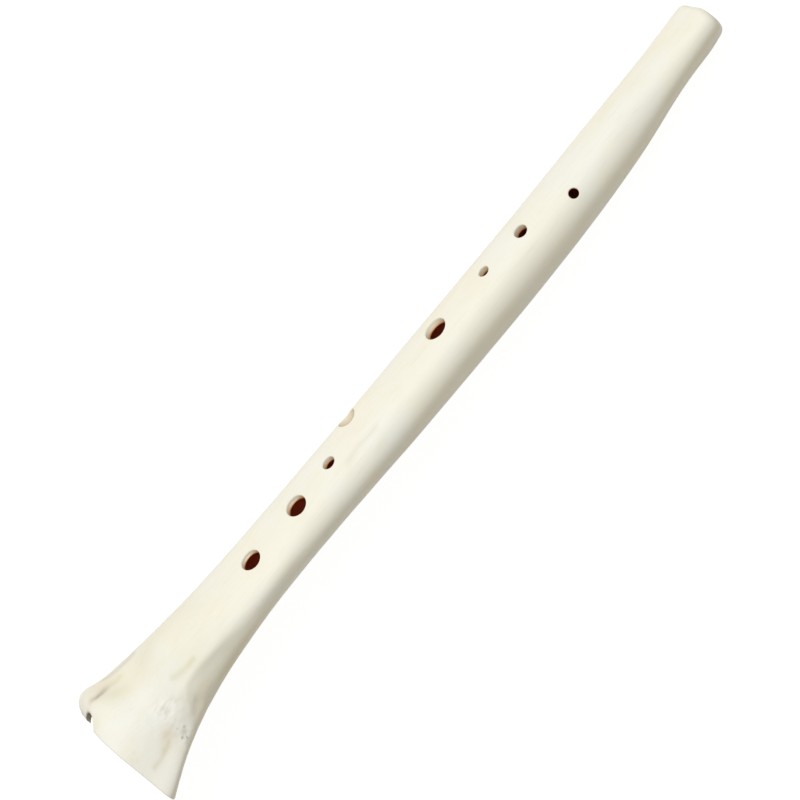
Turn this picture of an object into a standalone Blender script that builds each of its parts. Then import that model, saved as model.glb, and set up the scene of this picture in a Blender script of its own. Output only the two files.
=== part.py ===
"""An end-blown bone flute, worked from one long bone.

The bone lies along X with its blown end, the mouth, at +X and its flared foot at -X.
Y runs across it and +Z points up, out of the side that the finger holes are drilled in.
Places along the bone are measured from the foot's rim. Sizes are in millimetres, and
turn into metres where a mesh is made.
"""

import math
from collections import namedtuple

import bmesh
import bpy
import numpy as np

MM = 0.001

# The bone's length and the two zones where it changes most
LENGTH = 240.0
FLARE_LENGTH = 70.0
TAPER_LENGTH = 68.0

# The wall left between the outside and the bore, and the mouth's rounded outer edge
WALL = 2.8
MOUTH_EDGE_RADIUS = 2.1

# The crest that runs up the top of the flare, and the ridge on its right near the rim
CREST_HEIGHT = 0.65
CREST_ANGLE = math.radians(-3)
CREST_SPREAD = math.radians(16)
CREST_FOOT_END = 20.0
CREST_SHAFT_END = 67.0
CREST_FADE = 9.0
RIDGE_HEIGHT = 2.2
RIDGE_PLACE = 5.4
RIDGE_LENGTH = 9.0
RIDGE_ANGLE = math.radians(-32)
RIDGE_SPREAD = math.radians(12)

# The notch in the foot's rim, and the groove that leads to it down the left flank
NOTCH_ANGLE = math.radians(76.5)
NOTCH_WIDTH = 5.8
NOTCH_DEPTH = 3.0
GROOVE_LENGTH = 15.0
GROOVE_START_ANGLE = math.radians(94)
GROOVE_START_RADIUS = 0.5
GROOVE_RIM_RADIUS = 1.5
GROOVE_LIFT = 0.35

# How far a cutter runs past the face that it cuts
OVERRUN = 2.0

# Mesh density. Rings crowd towards the foot, as a power of their share of the flare.
SECTION_SEGMENTS = 48
FLARE_RINGS = 17
SHAFT_RINGS = 18
EDGE_RINGS = 5
BORE_SEGMENTS = 32
BORE_FLARE_RINGS = 11
BORE_SHAFT_RINGS = 15
FOOT_CROWDING = 1.4
HOLE_SEGMENTS = 24
GROOVE_SEGMENTS = 12
GROOVE_STEPS = 7
EXTENT_SAMPLES = 720

BONE_COLOUR = (0.87, 0.84, 0.72, 1.0)
BONE_ROUGHNESS = 0.45
SHARP_ANGLE = math.radians(40)

# One cross-section of the bone: its place, how far it reaches left (+Y) and right (-Y)
# of the line that the places are measured along, its height, how high its underside is,
# how three-sided and how square it is (an ellipse has 0 for both) and how far its top
# edge leans to the right. Both ends start a little below the surface that the flute lies
# on, because they are worn flat there.
Section = namedtuple("Section", "place left right height underside facets square lean")

SHAFT_START = FLARE_LENGTH
SHAFT_END = LENGTH - TAPER_LENGTH
SHAFT_LENGTH = SHAFT_END - SHAFT_START

SECTIONS = (
    Section(0.0, 13.6, 19.2, 25.4, -0.40, 0.015, 0.075, 0.41),
    Section(4.0, 16.2, 17.3, 24.9, -0.40, 0.015, 0.045, 0.44),
    Section(9.0, 15.2, 15.2, 23.7, -0.10, 0.030, 0.040, 0.43),
    Section(16.0, 13.6, 12.9, 21.8, 0.80, 0.100, 0.070, 0.41),
    Section(26.0, 12.3, 10.6, 19.8, 1.70, 0.020, 0.040, 0.26),
    Section(42.0, 10.7, 8.7, 17.8, 2.70, 0.070, 0.040, 0.29),
    Section(SHAFT_START, 9.5, 7.9, 16.4, 3.30, 0.100, 0.020, 0.31),
    Section(SHAFT_START + SHAFT_LENGTH / 3, 8.7, 8.9, 16.4, 2.80, 0.090, 0.020, 0.235),
    Section(SHAFT_END - SHAFT_LENGTH / 3, 8.3, 9.6, 16.2, 1.90, 0.090, 0.010, 0.13),
    Section(SHAFT_END, 7.9, 9.6, 15.6, 1.00, 0.055, 0.000, 0.10),
    Section(LENGTH - 50.0, 8.0, 8.9, 14.6, 0.65, 0.090, 0.020, 0.115),
    Section(LENGTH - 34.0, 8.0, 7.6, 13.5, 0.35, 0.090, 0.035, 0.09),
    Section(LENGTH - 18.0, 8.1, 5.6, 12.8, -0.10, 0.115, 0.030, 0.19),
    Section(LENGTH, 8.7, 5.2, 12.8, -0.40, 0.130, 0.000, 0.15),
)

# Finger holes, numbered from the mouth: place, turn round from the top towards the
# left, and drill diameter. Each is drilled straight at the middle of the bore.
Hole = namedtuple("Hole", "place turn diameter")

HOLES = (
    Hole(182.4, math.radians(7.5), 2.8),
    Hole(166.5, math.radians(40.5), 3.8),
    Hole(152.7, math.radians(49.5), 3.1),
    Hole(133.7, math.radians(56), 6.4),
    Hole(101.9, math.radians(101), 5.7),
    Hole(90.3, math.radians(52), 3.7),
    Hole(76.7, math.radians(46), 6.0),
    Hole(58.8, math.radians(48.5), 5.8),
)


def clear_scene():
    for thing in list(bpy.data.objects):
        bpy.data.objects.remove(thing, do_unlink=True)


def natural_spline(knots, values, places):
    """Heights at the places of the cubic curve through the knots that is free of bending
    at both ends. The curve's second derivatives at the knots solve one linear system."""
    count = len(knots)
    gaps = np.diff(knots)
    rises = np.diff(values) / gaps
    system = np.eye(count)
    right_side = np.zeros(count)
    for i in range(1, count - 1):
        system[i, i - 1:i + 2] = gaps[i - 1], 2 * (gaps[i - 1] + gaps[i]), gaps[i]
        right_side[i] = 6 * (rises[i] - rises[i - 1])
    bends = np.linalg.solve(system, right_side)
    low = np.clip(np.searchsorted(knots, places) - 1, 0, count - 2)
    before = (knots[low + 1] - places) / gaps[low]
    after = (places - knots[low]) / gaps[low]
    return (
        before * values[low]
        + after * values[low + 1]
        + ((before**3 - before) * bends[low] + (after**3 - after) * bends[low + 1])
        * gaps[low] ** 2 / 6
    )


def section_at(place, inset=0.0):
    """The cross-section at a place, drawn in by inset all round."""
    table = np.array(SECTIONS)
    here = np.clip(place, 0.0, LENGTH)
    values = [
        natural_spline(table[:, 0], table[:, column], np.array([here]))[0]
        for column in range(1, len(Section._fields))
    ]
    found = Section(place, *values)
    return found._replace(
        left=found.left - inset,
        right=found.right - inset,
        height=found.height - 2 * inset,
        underside=found.underside + inset,
    )


def unit_outline(section, angles):
    """A round outline with one corner on top: its radius is 1 plus facets times the
    cosine of three times the angle, less square times the cosine of four times it, and it
    leans right as it rises. Angles run from the top towards the left."""
    radius = 1 + section.facets * np.cos(3 * angles) - section.square * np.cos(4 * angles)
    up = radius * np.cos(angles)
    across = radius * np.sin(angles) - section.lean * up
    return across, up


def fitted(section, across, up):
    """Y and Z of points given on the unit outline, once the outline is stretched to the
    section's left, right, top and underside."""
    whole_across, whole_up = unit_outline(section, even_angles(EXTENT_SAMPLES))
    scale_y = (section.left + section.right) / np.ptp(whole_across)
    scale_z = section.height / np.ptp(whole_up)
    y = (across - whole_across.min()) * scale_y - section.right
    z = (up - whole_up.min()) * scale_z + section.underside
    return y, z


def outline(section, angles):
    return fitted(section, *unit_outline(section, angles))


def middle(section):
    """Y and Z of the point that the section's angles are measured round."""
    return np.array(fitted(section, 0.0, 0.0))


def even_angles(count):
    return np.linspace(0, 2 * math.pi, count, endpoint=False)


def turned(angles, about):
    """Angles measured from about, between -pi and pi."""
    return (angles - about + math.pi) % (2 * math.pi) - math.pi


def bell(distance, spread):
    """1 in the middle and 1/e at the spread."""
    return np.exp(-((distance / spread) ** 2))


def rise(distance, fade):
    """From 0 up to 1 in an S over about the fade on each side of the middle."""
    return (1 + math.tanh(2 * distance / fade)) / 2


def bone_relief(place, angles):
    """How far the crest and the ridge stand out of the outline. Each is a bell curve
    round the section, and along the bone the crest has two soft ends."""
    along_crest = rise(place - CREST_FOOT_END, CREST_FADE) * rise(CREST_SHAFT_END - place, CREST_FADE)
    crest = bell(turned(angles, CREST_ANGLE), CREST_SPREAD) * along_crest
    along_ridge = bell(place - RIDGE_PLACE, RIDGE_LENGTH)
    ridge = bell(turned(angles, RIDGE_ANGLE), RIDGE_SPREAD) * along_ridge
    return CREST_HEIGHT * crest + RIDGE_HEIGHT * ridge


def outer_point(place, angles, inset=0.0):
    """Y and Z on the outside of the bone, with its relief and its worn flats."""
    section = section_at(place, inset)
    y, z = outline(section, angles)
    centre = middle(section)
    away = np.hypot(y - centre[0], z - centre[1])
    relief = bone_relief(place, angles) / away
    return y + (y - centre[0]) * relief, np.maximum(z + (z - centre[1]) * relief, 0.0)


def ring_places(flare_rings, shaft_rings, end):
    """Places from the foot's rim to the end, close together in the flare and then even."""
    flare = FLARE_LENGTH * np.linspace(0, 1, flare_rings) ** FOOT_CROWDING
    return *flare, *np.linspace(FLARE_LENGTH, end, shaft_rings)[1:]


def outer_rings():
    """The outside, ring by ring from the foot to the mouth's rounded edge, which is a
    quarter circle."""
    angles = even_angles(SECTION_SEGMENTS)
    rings = []
    for place in ring_places(FLARE_RINGS, SHAFT_RINGS, LENGTH - MOUTH_EDGE_RADIUS):
        y, z = outer_point(place, angles)
        rings.append((np.full(SECTION_SEGMENTS, place), y, z))
    for turn in np.linspace(0, math.pi / 2, EDGE_RINGS)[1:]:
        place = LENGTH - MOUTH_EDGE_RADIUS * (1 - math.sin(turn))
        inset = MOUTH_EDGE_RADIUS * (1 - math.cos(turn))
        y, z = outer_point(place, angles, inset)
        rings.append((np.full(SECTION_SEGMENTS, place), y, z))
    return rings


def bore_rings():
    """The bore, one wall inside the plain outline, run out past both rims."""
    angles = even_angles(BORE_SEGMENTS)
    places = ring_places(BORE_FLARE_RINGS, BORE_SHAFT_RINGS, LENGTH)
    rings = []
    for place in (-OVERRUN, *places, LENGTH + OVERRUN):
        y, z = outline(section_at(place, WALL), angles)
        rings.append((np.full(BORE_SEGMENTS, place), y, z))
    return rings


def lofted(name, rings, shift):
    """A closed solid through rings of points that match one to one, with flat ends."""
    shell = bmesh.new()
    loops = [
        [shell.verts.new((np.array(point) + shift) * MM) for point in zip(*ring)]
        for ring in rings
    ]
    count = len(loops[0])
    for near, far in zip(loops, loops[1:]):
        for i in range(count):
            j = (i + 1) % count
            shell.faces.new((near[i], near[j], far[j], far[i]))
    shell.faces.new(loops[0])
    shell.faces.new(loops[-1])
    return finished(name, shell)


def rod(name, start, end, radius):
    """A round rod between two points, square to the line between them."""
    along = (end - start) / np.linalg.norm(end - start)
    side = np.array([1.0, 0.0, 0.0])
    other = np.cross(along, side)
    angles = even_angles(HOLE_SEGMENTS)[:, None]
    ring = radius * (np.cos(angles) * side + np.sin(angles) * other)
    return lofted(name, [tuple((start + ring).T), tuple((end + ring).T)], np.zeros(3))


def finished(name, shell):
    bmesh.ops.recalc_face_normals(shell, faces=shell.faces)
    mesh = bpy.data.meshes.new(name)
    shell.to_mesh(mesh)
    shell.free()
    thing = bpy.data.objects.new(name, mesh)
    bpy.context.scene.collection.objects.link(thing)
    return thing


def cut(body, cutter):
    """Takes the cutter's shape out of the body."""
    cutter.hide_render = True
    cutter.display_type = "WIRE"
    step = body.modifiers.new(cutter.name, "BOOLEAN")
    step.operation = "DIFFERENCE"
    step.solver = "EXACT"
    step.object = cutter


def surface_and_outwards(place, angle, shift):
    """A point on the outside of the bone, in the part's own frame, and the direction to
    it from the middle of the bore."""
    y, z = outer_point(place, np.array([angle]))
    surface = np.array([place, y[0], z[0]]) + shift
    centre = np.array([place, *middle(section_at(place))]) + shift
    return surface, (surface - centre) / np.linalg.norm(surface - centre)


def hole_cutter(number, hole, shift):
    """A drill that runs from the middle of the bore out through the wall."""
    surface, outwards = surface_and_outwards(hole.place, hole.turn, shift)
    centre = np.array([hole.place, *middle(section_at(hole.place))]) + shift
    radius = hole.diameter / 2
    end = surface + outwards * (OVERRUN + radius)
    return rod(f"hole_drill_{number}", centre, end, radius)


def notch_cutter(shift):
    """A slot with a round inner end, across the foot's rim and through the flare's wall."""
    radius = NOTCH_WIDTH / 2
    surface, outwards = surface_and_outwards(0.0, NOTCH_ANGLE, shift)
    sideways = np.array([0.0, -outwards[2], outwards[1]])
    turns = np.linspace(-math.pi / 2, math.pi / 2, HOLE_SEGMENTS // 2)
    along = np.array([-OVERRUN, *(NOTCH_DEPTH - radius + radius * np.cos(turns)), -OVERRUN])
    across = np.array([-radius, *(radius * np.sin(turns)), radius])
    slot = along[:, None] * np.array([1.0, 0.0, 0.0]) + across[:, None] * sideways
    inner = slot + surface - outwards * (WALL + OVERRUN)
    outer = slot + surface + outwards * (OVERRUN + radius)
    return lofted("notch_file", [tuple(inner.T), tuple(outer.T)], np.zeros(3))


def groove_cutter(shift):
    """A round file that follows the left flank and sinks in wider towards the notch."""
    places = np.linspace(GROOVE_LENGTH, 0.0, GROOVE_STEPS)
    radii = np.linspace(GROOVE_START_RADIUS, GROOVE_RIM_RADIUS, GROOVE_STEPS)
    turns = np.linspace(GROOVE_START_ANGLE, NOTCH_ANGLE, GROOVE_STEPS)
    angles = even_angles(GROOVE_SEGMENTS)
    rings = []
    for place, radius, turn in (*zip(places, radii, turns), (-OVERRUN, radii[-1], turns[-1])):
        y, z = outer_point(max(place, 0.0), np.array([turn]))
        across = y + radius * np.cos(angles)
        up = z + GROOVE_LIFT + radius * np.sin(angles)
        rings.append((np.full(GROOVE_SEGMENTS, place), across, up))
    return lofted("groove_file", rings, shift)


def bone_material():
    material = bpy.data.materials.new("bone")
    material.use_nodes = True
    shader = material.node_tree.nodes["Principled BSDF"]
    shader.inputs["Base Color"].default_value = BONE_COLOUR
    shader.inputs["Roughness"].default_value = BONE_ROUGHNESS
    shader.inputs["Metallic"].default_value = 0.0
    return material


def flute_body():
    """The whole flute, with the middle of its footprint at X and Y zero and its lowest
    point at Z zero."""
    rings = outer_rings()
    sides = np.concatenate([ring[1] for ring in rings])
    lowest = min(ring[2].min() for ring in rings)
    shift = np.array([-LENGTH / 2, -(sides.max() + sides.min()) / 2, -lowest])
    body = lofted("flute_body", rings, shift)
    cut(body, lofted("bore_reamer", bore_rings(), shift))
    for number, hole in enumerate(HOLES, start=1):
        cut(body, hole_cutter(number, hole, shift))
    cut(body, groove_cutter(shift))
    cut(body, notch_cutter(shift))
    body.data.materials.append(bone_material())
    body.data.shade_smooth()
    body.data.set_sharp_from_angle(angle=SHARP_ANGLE)
    return body


clear_scene()
flute_body()
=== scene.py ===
"""The looks of an end-blown bone flute: one worked long bone with a flared foot, eight
finger holes and a plain blown rim.

The bone lies along X with its mouth at +X and its foot at -X, and the finger holes look
up. Shapes are worked out in millimetres, by two numbers: the place along the bone, from
the foot's rim, and the turn round it in radians, from the top towards the left (+Y).
"""

import math
from collections import namedtuple

import bpy
import numpy as np
from mathutils import Matrix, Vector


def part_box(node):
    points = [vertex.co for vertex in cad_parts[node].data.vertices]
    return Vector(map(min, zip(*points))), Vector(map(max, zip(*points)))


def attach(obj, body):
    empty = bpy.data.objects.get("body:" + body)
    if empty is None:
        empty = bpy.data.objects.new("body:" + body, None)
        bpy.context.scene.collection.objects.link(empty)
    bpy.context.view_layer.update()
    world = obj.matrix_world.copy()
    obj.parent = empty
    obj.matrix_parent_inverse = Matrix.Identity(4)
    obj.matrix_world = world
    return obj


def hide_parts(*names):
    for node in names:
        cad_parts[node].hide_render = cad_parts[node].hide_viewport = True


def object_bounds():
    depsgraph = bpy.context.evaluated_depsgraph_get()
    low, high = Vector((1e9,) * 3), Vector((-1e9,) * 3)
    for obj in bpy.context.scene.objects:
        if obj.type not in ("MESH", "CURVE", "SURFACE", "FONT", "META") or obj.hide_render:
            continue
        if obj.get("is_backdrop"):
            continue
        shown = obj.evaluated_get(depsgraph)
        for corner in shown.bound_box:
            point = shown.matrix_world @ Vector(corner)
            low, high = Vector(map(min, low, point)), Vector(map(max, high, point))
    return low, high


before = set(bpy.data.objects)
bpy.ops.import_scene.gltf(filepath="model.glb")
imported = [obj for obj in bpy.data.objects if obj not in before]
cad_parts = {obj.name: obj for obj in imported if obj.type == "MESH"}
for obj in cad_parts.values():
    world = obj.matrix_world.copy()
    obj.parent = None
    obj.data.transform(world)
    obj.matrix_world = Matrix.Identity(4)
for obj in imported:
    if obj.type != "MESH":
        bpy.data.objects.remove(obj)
cad_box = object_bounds()

MM = 0.001

# The bone's plain shape, the same as the solid's
LENGTH = 240.0
WALL = 2.8
MOUTH_EDGE = 2.1
SHAFT_START = 70.0
SHAFT_END = 172.0
CREST = dict(
    height=0.65, turn=math.radians(-3), spread=math.radians(16), foot_end=20.0, shaft_end=67.0, fade=9.0
)
RIDGE = dict(height=2.2, place=5.4, length=9.0, turn=math.radians(-32), spread=math.radians(12))

# One cross-section: its place, how far it reaches left and right of the line that places
# are measured along, its height, how high its underside is, how three-sided and how
# square it is and how far its top edge leans to the right. Both ends start a little below
# the surface that the bone lies on, because they are worn flat there.
Section = namedtuple("Section", "place left right height underside facets square lean")
SECTIONS = (
    Section(0.0, 13.6, 19.2, 25.4, -0.40, 0.015, 0.075, 0.41),
    Section(4.0, 16.2, 17.3, 24.9, -0.40, 0.015, 0.045, 0.44),
    Section(9.0, 15.2, 15.2, 23.7, -0.10, 0.030, 0.040, 0.43),
    Section(16.0, 13.6, 12.9, 21.8, 0.80, 0.100, 0.070, 0.41),
    Section(26.0, 12.3, 10.6, 19.8, 1.70, 0.020, 0.040, 0.26),
    Section(42.0, 10.7, 8.7, 17.8, 2.70, 0.070, 0.040, 0.29),
    Section(SHAFT_START, 9.5, 7.9, 16.4, 3.30, 0.100, 0.020, 0.31),
    Section(SHAFT_START + 34.0, 8.7, 8.9, 16.4, 2.80, 0.090, 0.020, 0.235),
    Section(SHAFT_END - 34.0, 8.3, 9.6, 16.2, 1.90, 0.090, 0.010, 0.13),
    Section(SHAFT_END, 7.9, 9.6, 15.6, 1.00, 0.055, 0.000, 0.10),
    Section(LENGTH - 50.0, 8.0, 8.9, 14.6, 0.65, 0.090, 0.020, 0.115),
    Section(LENGTH - 34.0, 8.0, 7.6, 13.5, 0.35, 0.090, 0.035, 0.09),
    Section(LENGTH - 18.0, 8.1, 5.6, 12.8, -0.10, 0.115, 0.030, 0.19),
    Section(LENGTH, 8.7, 5.2, 12.8, -0.40, 0.130, 0.000, 0.15),
)

# How finely the plain shape is worked out along the bone and round it, and the rings that
# its box is measured on
SHAPE_STEP = 0.1
SHAPE_TURNS = 720
BOX_RINGS = 500

# Finger holes, numbered from the mouth, each drilled straight at the bore's middle. The
# left edges are worn rounder and the left walls slant, by shares of the diameter: most on
# the holes that are halfway round from the top to the left.
Hole = namedtuple("Hole", "place turn diameter")
HOLES = (
    Hole(182.4, math.radians(7.5), 2.8),
    Hole(166.5, math.radians(40.5), 3.8),
    Hole(152.7, math.radians(49.5), 3.1),
    Hole(133.7, math.radians(56), 6.4),
    Hole(101.9, math.radians(101), 5.7),
    Hole(90.3, math.radians(52), 3.7),
    Hole(76.7, math.radians(46), 6.0),
    Hole(58.8, math.radians(48.5), 5.8),
)
HOLE_EDGE = 0.22
HOLE_WEAR = 0.12
HOLE_SLANT = 0.10
HOLE_BORE_EDGE = 0.25

# The depth through the wall, as a share of it, that the painted shade of the holes and
# the bore counts where a hole's worn edge ends and where its wall ends
LIP_DEPTH = 0.12
HOLE_WALL_DEPTH = 0.95

# The foot's rim: its notch, its worn lobe on the left, how far it is broken back under the
# notch, and how round its edges are. The mouth's rim is worn back on its left, and its
# side is worn off at the right corner, over CORNER_REACH along the bone.
NOTCH_TURN = math.radians(79.5)
NOTCH_HALF = 3.8
NOTCH_DEPTH = 2.9
LOBE_TURN = math.radians(104)
LOBE_SPREAD = math.radians(30)
LOBE_SETBACK = 0.8
LOBE_EDGE = 1.1
UNDERSIDE_TURN = math.radians(142)
UNDERSIDE_SPREAD = math.radians(28)
UNDERSIDE_SETBACK = 2.6
RIM_EDGE = 0.4
RIM_BORE_EDGE = 0.35
MOUTH_WEAR = 1.4
MOUTH_WEAR_TURN = math.radians(105)
MOUTH_WEAR_SPREAD = math.radians(50)
CORNER_WEAR = 0.9
CORNER_TURN = math.radians(-95)
CORNER_SPREAD = math.radians(30)
CORNER_REACH = 4.5

# The mesh: columns round the bone and rings along it. The inside has half of each. The
# rings follow both rims' outlines over RIM_REACH. The columns within about PULL_SPREAD of
# the notch are drawn towards it by the share NOTCH_PULL: not yet at the place PULL_START,
# and in full from PULL_FADE nearer to the rim.
COLUMNS = 204
OUTER_RINGS = 301
EDGE_STEPS = 5
RIM_REACH = 9.0
NOTCH_PULL = 0.6
PULL_SPREAD = 0.35
PULL_START = 14.0
PULL_FADE = 10.0

# A hole's own rings: the room that the grid leaves free along the bone and, inside, aside
# from the hole, where the rings lie between the hole's edge (0) and the grid (1) on both
# sides of the wall, and the steps down the hole's wall
HOLE_MARGIN = 1.7
BORE_MARGIN = 0.5
OUTSIDE_SHARES = (0.74, 0.5, 0.3, 0.14, 0.04)
BORE_SHARES = (0.25, 0.6)
WALL_STEPS = 8


def natural_spline(knots, values, places):
    """The cubic curve through the knots that is free of bending at both ends. Its second
    derivatives at the knots solve one linear system."""
    count = len(knots)
    gaps = np.diff(knots)
    rises = np.diff(values) / gaps
    system = np.eye(count)
    right_side = np.zeros(count)
    for i in range(1, count - 1):
        system[i, i - 1:i + 2] = gaps[i - 1], 2 * (gaps[i - 1] + gaps[i]), gaps[i]
        right_side[i] = 6 * (rises[i] - rises[i - 1])
    bends = np.linalg.solve(system, right_side)
    low = np.clip(np.searchsorted(knots, places) - 1, 0, count - 2)
    before = (knots[low + 1] - places) / gaps[low]
    after = (places - knots[low]) / gaps[low]
    bending = (before**3 - before) * bends[low] + (after**3 - after) * bends[low + 1]
    return before * values[low] + after * values[low + 1] + bending * gaps[low] ** 2 / 6


def unit_outline(facets, square, lean, turns):
    """A round outline with one corner on top: its radius is 1 plus facets times the
    cosine of three times the turn, less square times the cosine of four times it, and it
    leans to the right as it rises."""
    radius = 1 + facets * np.cos(3 * turns) - square * np.cos(4 * turns)
    up = radius * np.cos(turns)
    return radius * np.sin(turns) - lean * up, up


def shape_table():
    """Every section value at close, even steps along the bone, with the lowest value and
    the reach of the unit outline across and up at each."""
    places = np.arange(0, LENGTH + SHAPE_STEP, SHAPE_STEP)
    knots = np.array(SECTIONS)
    columns = [natural_spline(knots[:, 0], values, places) for values in knots.T[1:]]
    turns = np.linspace(0, 2 * math.pi, SHAPE_TURNS, endpoint=False)
    facets, square, lean = (column[:, None] for column in columns[4:])
    across, up = unit_outline(facets, square, lean, turns)
    columns += [across.min(1), np.ptp(across, axis=1), up.min(1), np.ptp(up, axis=1)]
    return places, columns


SHAPE_PLACES, SHAPE_COLUMNS = shape_table()


def section_reach(place, turn, inset=0.0):
    """The section's middle, and how far across and up from it the outline lies: the unit
    outline stretched to the section's reach, less the inset on every side."""
    values = [np.interp(place, SHAPE_PLACES, column) for column in SHAPE_COLUMNS]
    left, right, height, underside, *bent, low_y, reach_y, low_z, reach_z = values
    across, up = unit_outline(*bent, turn)
    scale_y = (left + right - 2 * inset) / reach_y
    scale_z = (height - 2 * inset) / reach_z
    middle_y = -low_y * scale_y - right + inset
    middle_z = -low_z * scale_z + underside + inset
    return middle_y, middle_z, across * scale_y, up * scale_z


def bone_point(place, turn, inset=0.0, relief=0.0):
    """Points of the bone as an array of XYZ rows, in millimetres. The relief pushes each
    point of the outline away from the section's middle, and what would lie lower than 0
    is worn off."""
    place, turn = np.broadcast_arrays(place, turn)
    middle_y, middle_z, away_y, away_z = section_reach(place, turn, inset)
    stretch = 1 + relief / np.hypot(away_y, away_z)
    height = np.maximum(middle_z + away_z * stretch, 0.0)
    return np.stack([place, middle_y + away_y * stretch, height], -1)


def turned(turn, about):
    """Turns measured from about, between minus and plus half a circle."""
    return (turn - about + math.pi) % (2 * math.pi) - math.pi


def bell(distance, spread):
    """A bell curve, 1 in the middle and 1/e at the spread: e to the power of minus the
    square of the distance over the spread."""
    return np.exp(-((distance / spread) ** 2))


def rise(distance, fade):
    """From 0 up to 1 in an S over about the fade on each side of the middle: a hyperbolic
    tangent, halved and lifted."""
    return (1 + np.tanh(2 * distance / fade)) / 2


def arc_radius(place):
    """Millimetres round the bone for one radian, on average."""
    left, right, height = (np.interp(place, SHAPE_PLACES, c) for c in SHAPE_COLUMNS[:3])
    return (left + right + height) / 4


# The forms of marks on the bone. Each gives, by at(), how strongly it shows at each point,
# from 0 to 1. Points of a mark are a place and a turn in degrees.


class Stretch(namedtuple("Stretch", "start end fade")):
    """A stretch of the bone: 1 on it, with an S down to 0 at its start and its end."""

    def at(self, place, turn=0.0):
        return rise(place - self.start, self.fade) * rise(self.end - place, self.fade)


class Band(namedtuple("Band", "middle reach")):
    """A band right round the bone, with a bell curve down along it."""

    def at(self, place, turn=0.0):
        return bell(place - self.middle, self.reach)


WHOLE = Stretch(-LENGTH, 2 * LENGTH, 1.0)


class Line(namedtuple("Line", "points width limit", defaults=(WHOLE,))):
    """A line through points on the bone, with a bell curve down over its width: the
    nearest of its segments counts. It shows within its limit, a stretch or a band."""

    def at(self, place, turn):
        radius = arc_radius(place)
        nearest = np.full(np.shape(place), np.inf)
        points = [(p, math.radians(t)) for p, t in self.points]
        for (p0, t0), (p1, t1) in zip(points, points[1:]):
            x, y = place - p0, turned(turn, t0) * radius
            dx, dy = p1 - p0, (t1 - t0) * radius
            share = np.clip((x * dx + y * dy) / (dx * dx + dy * dy), 0, 1)
            nearest = np.minimum(nearest, np.hypot(x - share * dx, y - share * dy))
        return bell(nearest, self.width) * self.limit.at(place, turn)


class Patch(namedtuple("Patch", "middle reach lean", defaults=(0.0,))):
    """An oval round its middle, with a bell curve down over its reach along and round the
    bone, and turned on the surface by lean degrees."""

    def at(self, place, turn):
        x = place - self.middle[0]
        y = turned(turn, math.radians(self.middle[1])) * arc_radius(place)
        c, s = math.cos(math.radians(self.lean)), math.sin(math.radians(self.lean))
        return np.exp(-(((x * c + y * s) / self.reach[0]) ** 2) - ((y * c - x * s) / self.reach[1]) ** 2)


def summed(marks, place, turn):
    """Marks added up, each times its strength."""
    return sum(strength * mark.at(place, turn) for strength, mark in marks)


def foot_to(end, fade):
    """The stretch from the foot's rim to an end."""
    return Stretch(-LENGTH, end, fade)


def mouth_to(end, fade):
    """The stretch from the mouth's rim back to an end."""
    return Stretch(end, 2 * LENGTH, fade)


# The flare, and the rough ground on both sides of the crest's foot end
FLARE = foot_to(30.0, 12.0)
ROUGH_GROUND = (
    (1.0, Patch((17.5, 9.5), (7.5, 4.6), -12)),
    (1.0, Patch((15.0, -19.5), (4.6, 4.2))),
)

# Lines of the flare and the shaft: the sharp line of the crest, the crease outside the
# lobe, the crack below the tan patch, the edge of the right limb's pocket, the shade on
# the left edge, the groove beside hole 5, two muscle lines of the back, and the small
# hole there that fed the bone, with its groove
CREST_LINE = ((42.0, -3.0), (36.0, -5.0), (31.8, -5.0), (27.0, -3.0), (24.0, 0.0), (21.4, 2.0))
CREASE = ((13.4, 98.0), (12.2, 96.5), (10.8, 94.0), (9.4, 90.0), (8.0, 86.5), (6.8, 85.0), (5.4, 87.5))
CRACK = ((10.6, -12.5), (9.0, -14.0), (7.6, -14.2), (6.2, -14.0), (4.8, -12.5), (3.4, -11.0))
POCKET_EDGE = ((23.4, -19.5), (21.8, -21.0), (20.4, -23.5))
LEFT_EDGE = ((21.0, 109.0), (16.0, 110.0), (11.0, 111.0))
SHAFT_GROOVE = ((93.5, 21.5), (98.0, 25.0), (101.5, 23.0), (104.8, 21.5))
BACK_LINES = (
    ((34.0, 176.0), (60.0, 171.0), (95.0, 168.0), (128.0, 170.0)),
    ((48.0, -160.0), (78.0, -163.0), (112.0, -166.0)),
)
FEED_HOLE = (47.0, -172.0)
FEED_GROOVE = (FEED_HOLE, (55.5, -171.0))

# What stands out of the surface or, below 0, is sunk into it, in millimetres: the crest's
# sharp line, the crease, the crack, the hollow of the tan patch, the right limb's pocket,
# the groove beside hole 5, the muscle lines, the feeding hole and its groove
RELIEF = (
    (0.26, Line(CREST_LINE, 1.2, foot_to(40.0, 8.0))),
    (-0.46, Line(CREASE, 1.8, foot_to(14.5, 4.0))),
    (-0.06, Line(CRACK, 0.5)),
    (-0.10, Patch((11.8, -7.5), (1.9, 1.7), 20)),
    (-0.30, Patch((22.0, -27.5), (3.0, 1.7), -15)),
    (-0.05, Line(SHAFT_GROOVE, 0.9)),
    (0.10, Line(BACK_LINES[0], 0.9)),
    (0.10, Line(BACK_LINES[1], 0.9)),
    (-0.5, Patch(FEED_HOLE, (1.0, 0.45))),
    (-0.10, Line(FEED_GROOVE, 0.5)),
)

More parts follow.
